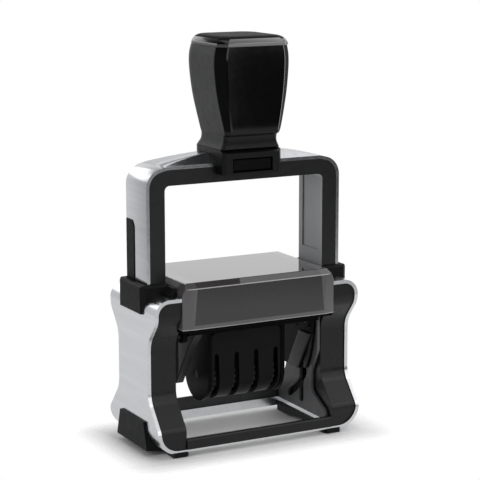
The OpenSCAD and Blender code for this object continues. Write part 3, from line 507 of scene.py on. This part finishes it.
def loft(node, rings, angle=30):
    """A closed skin through rings of points in millimetres."""
    n = len(rings[0])
    last = (len(rings) - 1) * n
    verts = [Vector(point) * MM for ring in rings for point in ring]
    faces = [tuple(range(n - 1, -1, -1)), tuple(range(last, last + n))]
    for low in range(0, last, n):
        for i in range(n):
            j = (i + 1) % n
            faces.append((low + i, low + j, low + n + j, low + n + i))
    mesh = bpy.data.meshes.new(node + "_shown")
    mesh.from_pydata(verts, [], faces)
    mesh.validate()
    smooth(mesh, angle)
    mesh.materials.append(finish(node))
    return place(add(node + "_shown", mesh), node)


# Grip, in millimetres: smooth skins through the solids' stations in finer steps, with a fuller top edge

# Height of the neck's foot, and of the grip and the cap above it
NECK = 115.7
GRIP_H = 39.0
CAP_H = 3.8
# Height up to which the neck shows under the panel
NECK_H = 7.2
# Reach of the grip to each side, to the front and to the rear
HALF = 15.95
FRONT = 17.7
REAR = 13.9
# Thickness of the sleeve and of the panel, and the gaps at their seams
SLEEVE = 1.8
PANEL = 0.8
FIT = 0.05
PANEL_GAP = 0.1
# The panel's lip, and the crown of its front with its steps from the middle to a side
LIP = 0.5
CROWN = 0.25
CROWN_N = 6
# How far the cap's rounded side draws in to its top, and the steps up it
CAP_IN = 4.2
CAP_N = 20
# A face of the cap is on its side where its normal rises less than this, and on its front where that
# normal also turns less than this to the left or right
SIDE_RISE = 0.8
FRONT_TURN = 0.1
# Steps from one station to the next, and the station where the panel starts
STEPS = 6
PANEL_START = 3

# A section of the grip: its height, reach to each side, front and rear, front chamfer and rear corner radius
Section = namedtuple("Section", "z half front rear chamfer bend")
STATIONS = [
    Section(0.0, HALF - 3.3, FRONT - 3.6, REAR - 1.9, 0.9, 6.2),
    Section(2.5, HALF - 4.3, FRONT - 3.9, REAR - 3.6, 0.9, 6.0),
    Section(5.0, HALF - 4.4, FRONT - 3.2, REAR - 4.0, 1.2, 6.0),
    Section(NECK_H, HALF - 3.8, FRONT - 0.9, REAR - 3.8, 1.8, 6.2),
    Section(GRIP_H * 0.5, HALF - 1.2, FRONT - 0.3, REAR - 1.5, 2.8, 8.0),
    Section(GRIP_H * 0.75, HALF - 0.05, FRONT, REAR - 0.1, 3.3, 9.2),
    Section(GRIP_H * 0.9, HALF, FRONT, REAR, 3.3, 9.2),
    Section(GRIP_H, HALF - 0.7, FRONT - 0.1, REAR - 0.7, 3.2, 8.8),
]


def spline(u, p, q, r, s):
    """A smooth curve from q to r, where p comes before them and s after them."""
    bend = 2 * p - 5 * q + 4 * r - s
    twist = 3 * q - p - 3 * r + s
    return q + ((r - p) * u + bend * u ** 2 + twist * u ** 3) / 2


def section(t):
    """The section at a count of stations, on a smooth curve through them."""
    last = len(STATIONS) - 1
    i = min(int(t), last - 1)
    near = [STATIONS[max(0, min(last, i + k))] for k in (-1, 0, 1, 2)]
    return Section(*(spline(t - i, *values) for values in zip(*near)))


def lift(z, outline):
    """An outline of (x, y) points at a height above the neck's foot."""
    return [(x, y, NECK + z) for x, y in outline]


def rear(s, inset):
    """The two round corners at the rear of a section, moved inward."""
    x = s.half - s.bend
    y = s.rear - s.bend
    return corner(x, y, s.bend - inset, 0.0) + corner(-x, y, s.bend - inset, 90.0)


def core_ring(s):
    """The core's outline: a chamfered front, and sides that step in under the sleeve."""
    side = s.half - SLEEVE - FIT
    shelf = s.chamfer - s.front - FIT
    return lift(s.z, [(s.half - s.chamfer, -s.front), (s.half, shelf), (side, shelf), *rear(s, SLEEVE + FIT),
                      (-side, shelf), (-s.half, shelf), (s.chamfer - s.half, -s.front)])


def sleeve_ring(s):
    """The sleeve's outline, round the sides and the rear of the core."""
    edge = s.chamfer - s.front
    inner = s.half - SLEEVE
    return lift(s.z, [(s.half, edge), *rear(s, 0.0), (-s.half, edge),
                      (-inner, edge), *reversed(rear(s, SLEEVE)), (inner, edge)])


def panel_ring(s):
    """The panel's outline, with a crowned front."""
    half = s.half - s.chamfer - PANEL_GAP
    face = -s.front - PANEL
    edge = face + CROWN + LIP
    back = -s.front - FIT
    across = [(half - LIP) * k / CROWN_N for k in range(-CROWN_N, CROWN_N + 1)]
    crowned = [(x, face + CROWN * (x / half) ** 2) for x in across]
    return lift(s.z, [*crowned, (half, edge), (half, back), (-half, back), (-half, edge)])


def cap_ring(s, angle):
    """The cap's outline at an angle up its rounded side."""
    drawn = CAP_IN * (1 - math.cos(angle))
    half = s.half - drawn
    front = s.front + PANEL - drawn
    bends = rear(s._replace(half=half, rear=s.rear - drawn, bend=s.bend - drawn), 0.0)
    return lift(s.z + FIT + CAP_H * math.sin(angle),
                [(s.chamfer - half, -front), (half - s.chamfer, -front), (half, s.chamfer - front), *bends,
                 (-half, s.chamfer - front)])


def on_cap_side(face):
    return face.normal.z < SIDE_RISE


def on_cap_front(face):
    return on_cap_side(face) and face.normal.y < 0 and abs(face.normal.x) < FRONT_TURN


sections = [section(k / STEPS) for k in range(STEPS * (len(STATIONS) - 1) + 1)]

core = loft("grip_core", [core_ring(s) for s in sections])
paint(core, bracket, lambda face: face.center.z < (NECK + NECK_H) * MM)
soften(core, width=0.35, segments=3, angle=30)

sleeve = loft("soft_sleeve", [sleeve_ring(s) for s in sections])
soften(sleeve, width=0.3, segments=2, angle=40)

panel = loft("front_panel", [panel_ring(s) for s in sections[PANEL_START * STEPS:]])
soften(panel, width=0.35, segments=3, angle=30, flush_z=(NECK + GRIP_H) * MM)

cap = loft("top_cap", [cap_ring(sections[-1], math.pi / 2 * k / CAP_N) for k in range(CAP_N + 1)], angle=40)
paint(cap, MATERIAL["gloss_black"], on_cap_side)
paint(cap, lacquer, on_cap_front)


# Other pieces: the CAD shapes with softened edges

DATE_SET = [f"date_{kind}_{k}" for kind in ("band", "wheel") for k in range(1, 5)]
# Widths of the softened edges, in millimetres, and the pieces that have them
EDGES = {
    0.6: ["left_column", "right_column"],
    0.5: ["left_collar", "right_collar", "left_foot", "right_foot", "bow_liner", "neck_bracket"],
    0.4: ["lock_button", "left_arm"],
    0.3: ["body_band", "bow_strap", "front_rail", "rear_rail", "ink_pad", "carriage_frame", "date_housing"],
    0.25: ["left_cam_plate", "right_cam_plate"],
    0.2: ["pad_housing", "left_leg_insert", "right_leg_insert", "axle_pins", "guide_pins", "spring_posts",
          "right_arm", "text_plate", "band_bridge", "wheel_axle"],
    0.15: ["neck_screws"],
    0.12: ["rubber_die", *DATE_SET],
}
for width, nodes in EDGES.items():
    for node in nodes:
        dress(node, width)

dress("pad_cover", width=0.35, segments=3, angle=10)
dress("pad_tray", merge=False)

# Date cover, in millimetres: its slots flare towards the nose and its top corners are round
SLOT_N = 4
SLOT_PITCH = 8.7
SLOT_W = 1.8
SLOT_TOP = 34.8
FLARE_W = 3.2
TOP_R = 2.4
# How far a cutter runs past the cover, and the depth where it ends inside
PAST = 1.0
CUT_END = 0.0


def date_cover_cutters():
    """Cutters for the slots and for the two top corners."""
    (_, y0, z0), (x1, _, z1) = (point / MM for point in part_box("date_cover"))
    foot = z0 - PAST
    outlines = []
    for k in range(SLOT_N):
        x = SLOT_PITCH * (k - (SLOT_N - 1) / 2)
        outlines.append([(x - FLARE_W / 2, foot), (x + FLARE_W / 2, foot),
                         (x + SLOT_W / 2, SLOT_TOP), (x - SLOT_W / 2, SLOT_TOP)])
    nook = [*corner(x1 - TOP_R, z1 - TOP_R, TOP_R, 0.0),
            (x1 - TOP_R, z1 + PAST), (x1 + PAST, z1 + PAST), (x1 + PAST, z1 - TOP_R)]
    for side in (-1, 1):
        outlines.append([(side * x, z) for x, z in nook])
    return [prism(outline, y0 - PAST, CUT_END) for outline in outlines]


dress("date_cover", width=0.25, cutters=date_cover_cutters())

# Return springs: the CAD shapes, each on a mesh of its own
for node in ("left_spring", "right_spring"):
    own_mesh(dress(node, angle=80))


# Stage, in metres

FLOOR_HALF = 0.6
# The distance from the object at which the camera no longer sees the floor, and the distances between which
# the floor ends for all rays
CLEAR = 0.013
EDGE_START = 0.22
EDGE_END = 0.40
# How much of the white background the floor shows in gloss and glass
GLOW = 0.5


def floor_shader():
    """A pale floor that keeps the object's shadow and fades into the background away from it."""
    s = Shader("pale floor")
    past = [s.highest(s.calc("SUBTRACT", s.calc("ABSOLUTE", spot), reach), 0.0)
            for spot, reach in zip(s.axes(s.coord)[:2], cad_box[1])]
    away = s.calc("SQRT", s.calc("ADD", *(s.product(step, step) for step in past)))
    path = s.node("ShaderNodeLightPath").outputs
    near = s.product(s.ramp(away, 0.0, 1.0, 0.0, CLEAR), path["Is Camera Ray"])
    fade = s.highest(near, s.ramp(away, 0.0, 1.0, EDGE_START, EDGE_END))
    glow = s.product(s.highest(path["Is Glossy Ray"], path["Is Transmission Ray"]), GLOW)
    tone = s.mix(s.uneven(0.0, 1.0, FLOOR_TONE), (0.90, 0.90, 0.90), (0.92, 0.92, 0.92))
    s.set(Base_Color=s.mix(glow, tone, BLACK), Emission_Color=(*WHITE, 1.0), Emission_Strength=glow,
          Roughness=s.uneven(0.75, 0.85, FLOOR_SHEEN), Specular_IOR_Level=0.1,
          Alpha=s.calc("SUBTRACT", 1.0, fade))
    return s.mat


floor_mesh = bpy.data.meshes.new("floor")
floor_mesh.from_pydata([(-FLOOR_HALF, -FLOOR_HALF, 0), (FLOOR_HALF, -FLOOR_HALF, 0),
                        (FLOOR_HALF, FLOOR_HALF, 0), (-FLOOR_HALF, FLOOR_HALF, 0)], [], [(0, 1, 2, 3)])
floor_mesh.materials.append(floor_shader())
floor = add("floor", floor_mesh)

# Studio: white for the camera; for light and gloss brighter towards the rear right and dimmer overhead
REARWARD = (0.5, 0.866)
FRONT_END = -0.35
REAR_END = 1.0
FRONT_LEVEL = 0.05
LOW_END = 0.30
HIGH_END = 0.70
OVERHEAD_LEVEL = 0.35

world = bpy.data.worlds.new("studio")
bpy.context.scene.world = world
world.use_nodes = True
studio = Tree(world.node_tree)
x, y, z = studio.axes(studio.node("ShaderNodeTexCoord").outputs["Generated"])
toward = studio.calc("ADD", studio.product(x, REARWARD[0]), studio.product(y, REARWARD[1]))
light = studio.product(studio.ramp(toward, FRONT_LEVEL, 1.0, FRONT_END, REAR_END, "SMOOTHSTEP"),
                       studio.ramp(z, 1.0, OVERHEAD_LEVEL, LOW_END, HIGH_END, "SMOOTHSTEP"))
path = studio.node("ShaderNodeLightPath").outputs
background = world.node_tree.nodes["Background"]
studio.put(background.inputs["Color"], (*WHITE, 1.0))
studio.put(background.inputs["Strength"],
           studio.highest(light, path["Is Camera Ray"], path["Is Transmission Ray"]))

# The point that the softboxes face
AIM = Vector((0.0, 0.0, 0.07))


def softbox(name, spot, size, watts):
    """A soft rectangular light that faces the object."""
    data = bpy.data.lights.new(name, "AREA")
    data.shape = "RECTANGLE"
    data.size, data.size_y = size
    data.energy = watts
    lamp = add(name, data)
    lamp.location = spot
    lamp.rotation_euler = (AIM - Vector(spot)).to_track_quat("-Z", "Y").to_euler()


softbox("key", spot=(0.35, -0.05, 1.0), size=(1.6, 1.6), watts=8.0)
softbox("front", spot=(0.55, -0.85, 0.55), size=(1.0, 0.8), watts=3.5)
softbox("fill", spot=(-0.90, -0.25, 0.50), size=(0.9, 0.8), watts=2.8)
softbox("card", spot=(0.12, -0.80, 0.10), size=(0.36, 0.36), watts=0.3)
softbox("rim", spot=(-0.25, 0.90, 0.50), size=(0.7, 0.4), watts=1.2)


# Camera, at the photo's place: its angles in degrees, its eye in metres and its lens in millimetres

YAW = math.radians(27.9)
PITCH = math.radians(10.76)
ROLL = math.radians(-0.09)
EYE = (-0.3062, -0.5830, 0.2031)
LENS = 128.3
SENSOR = 36.0

ahead = Vector((math.sin(YAW) * math.cos(PITCH), math.cos(YAW) * math.cos(PITCH), -math.sin(PITCH)))
level = Vector((math.cos(YAW), -math.sin(YAW), 0.0))
upright = level.cross(ahead)
right = level * math.cos(ROLL) + upright * math.sin(ROLL)
up = upright * math.cos(ROLL) - level * math.sin(ROLL)

optics = bpy.data.cameras.new("camera")
optics.sensor_width = SENSOR
optics.lens = LENS
optics.clip_start = 0.05
optics.clip_end = 20.0
camera = add("camera", optics)
camera.matrix_world = Matrix.Translation(EYE) @ Matrix((right, up, -ahead)).transposed().to_4x4()
bpy.context.scene.camera = camera
bpy.context.scene.view_settings.view_transform = "Standard"
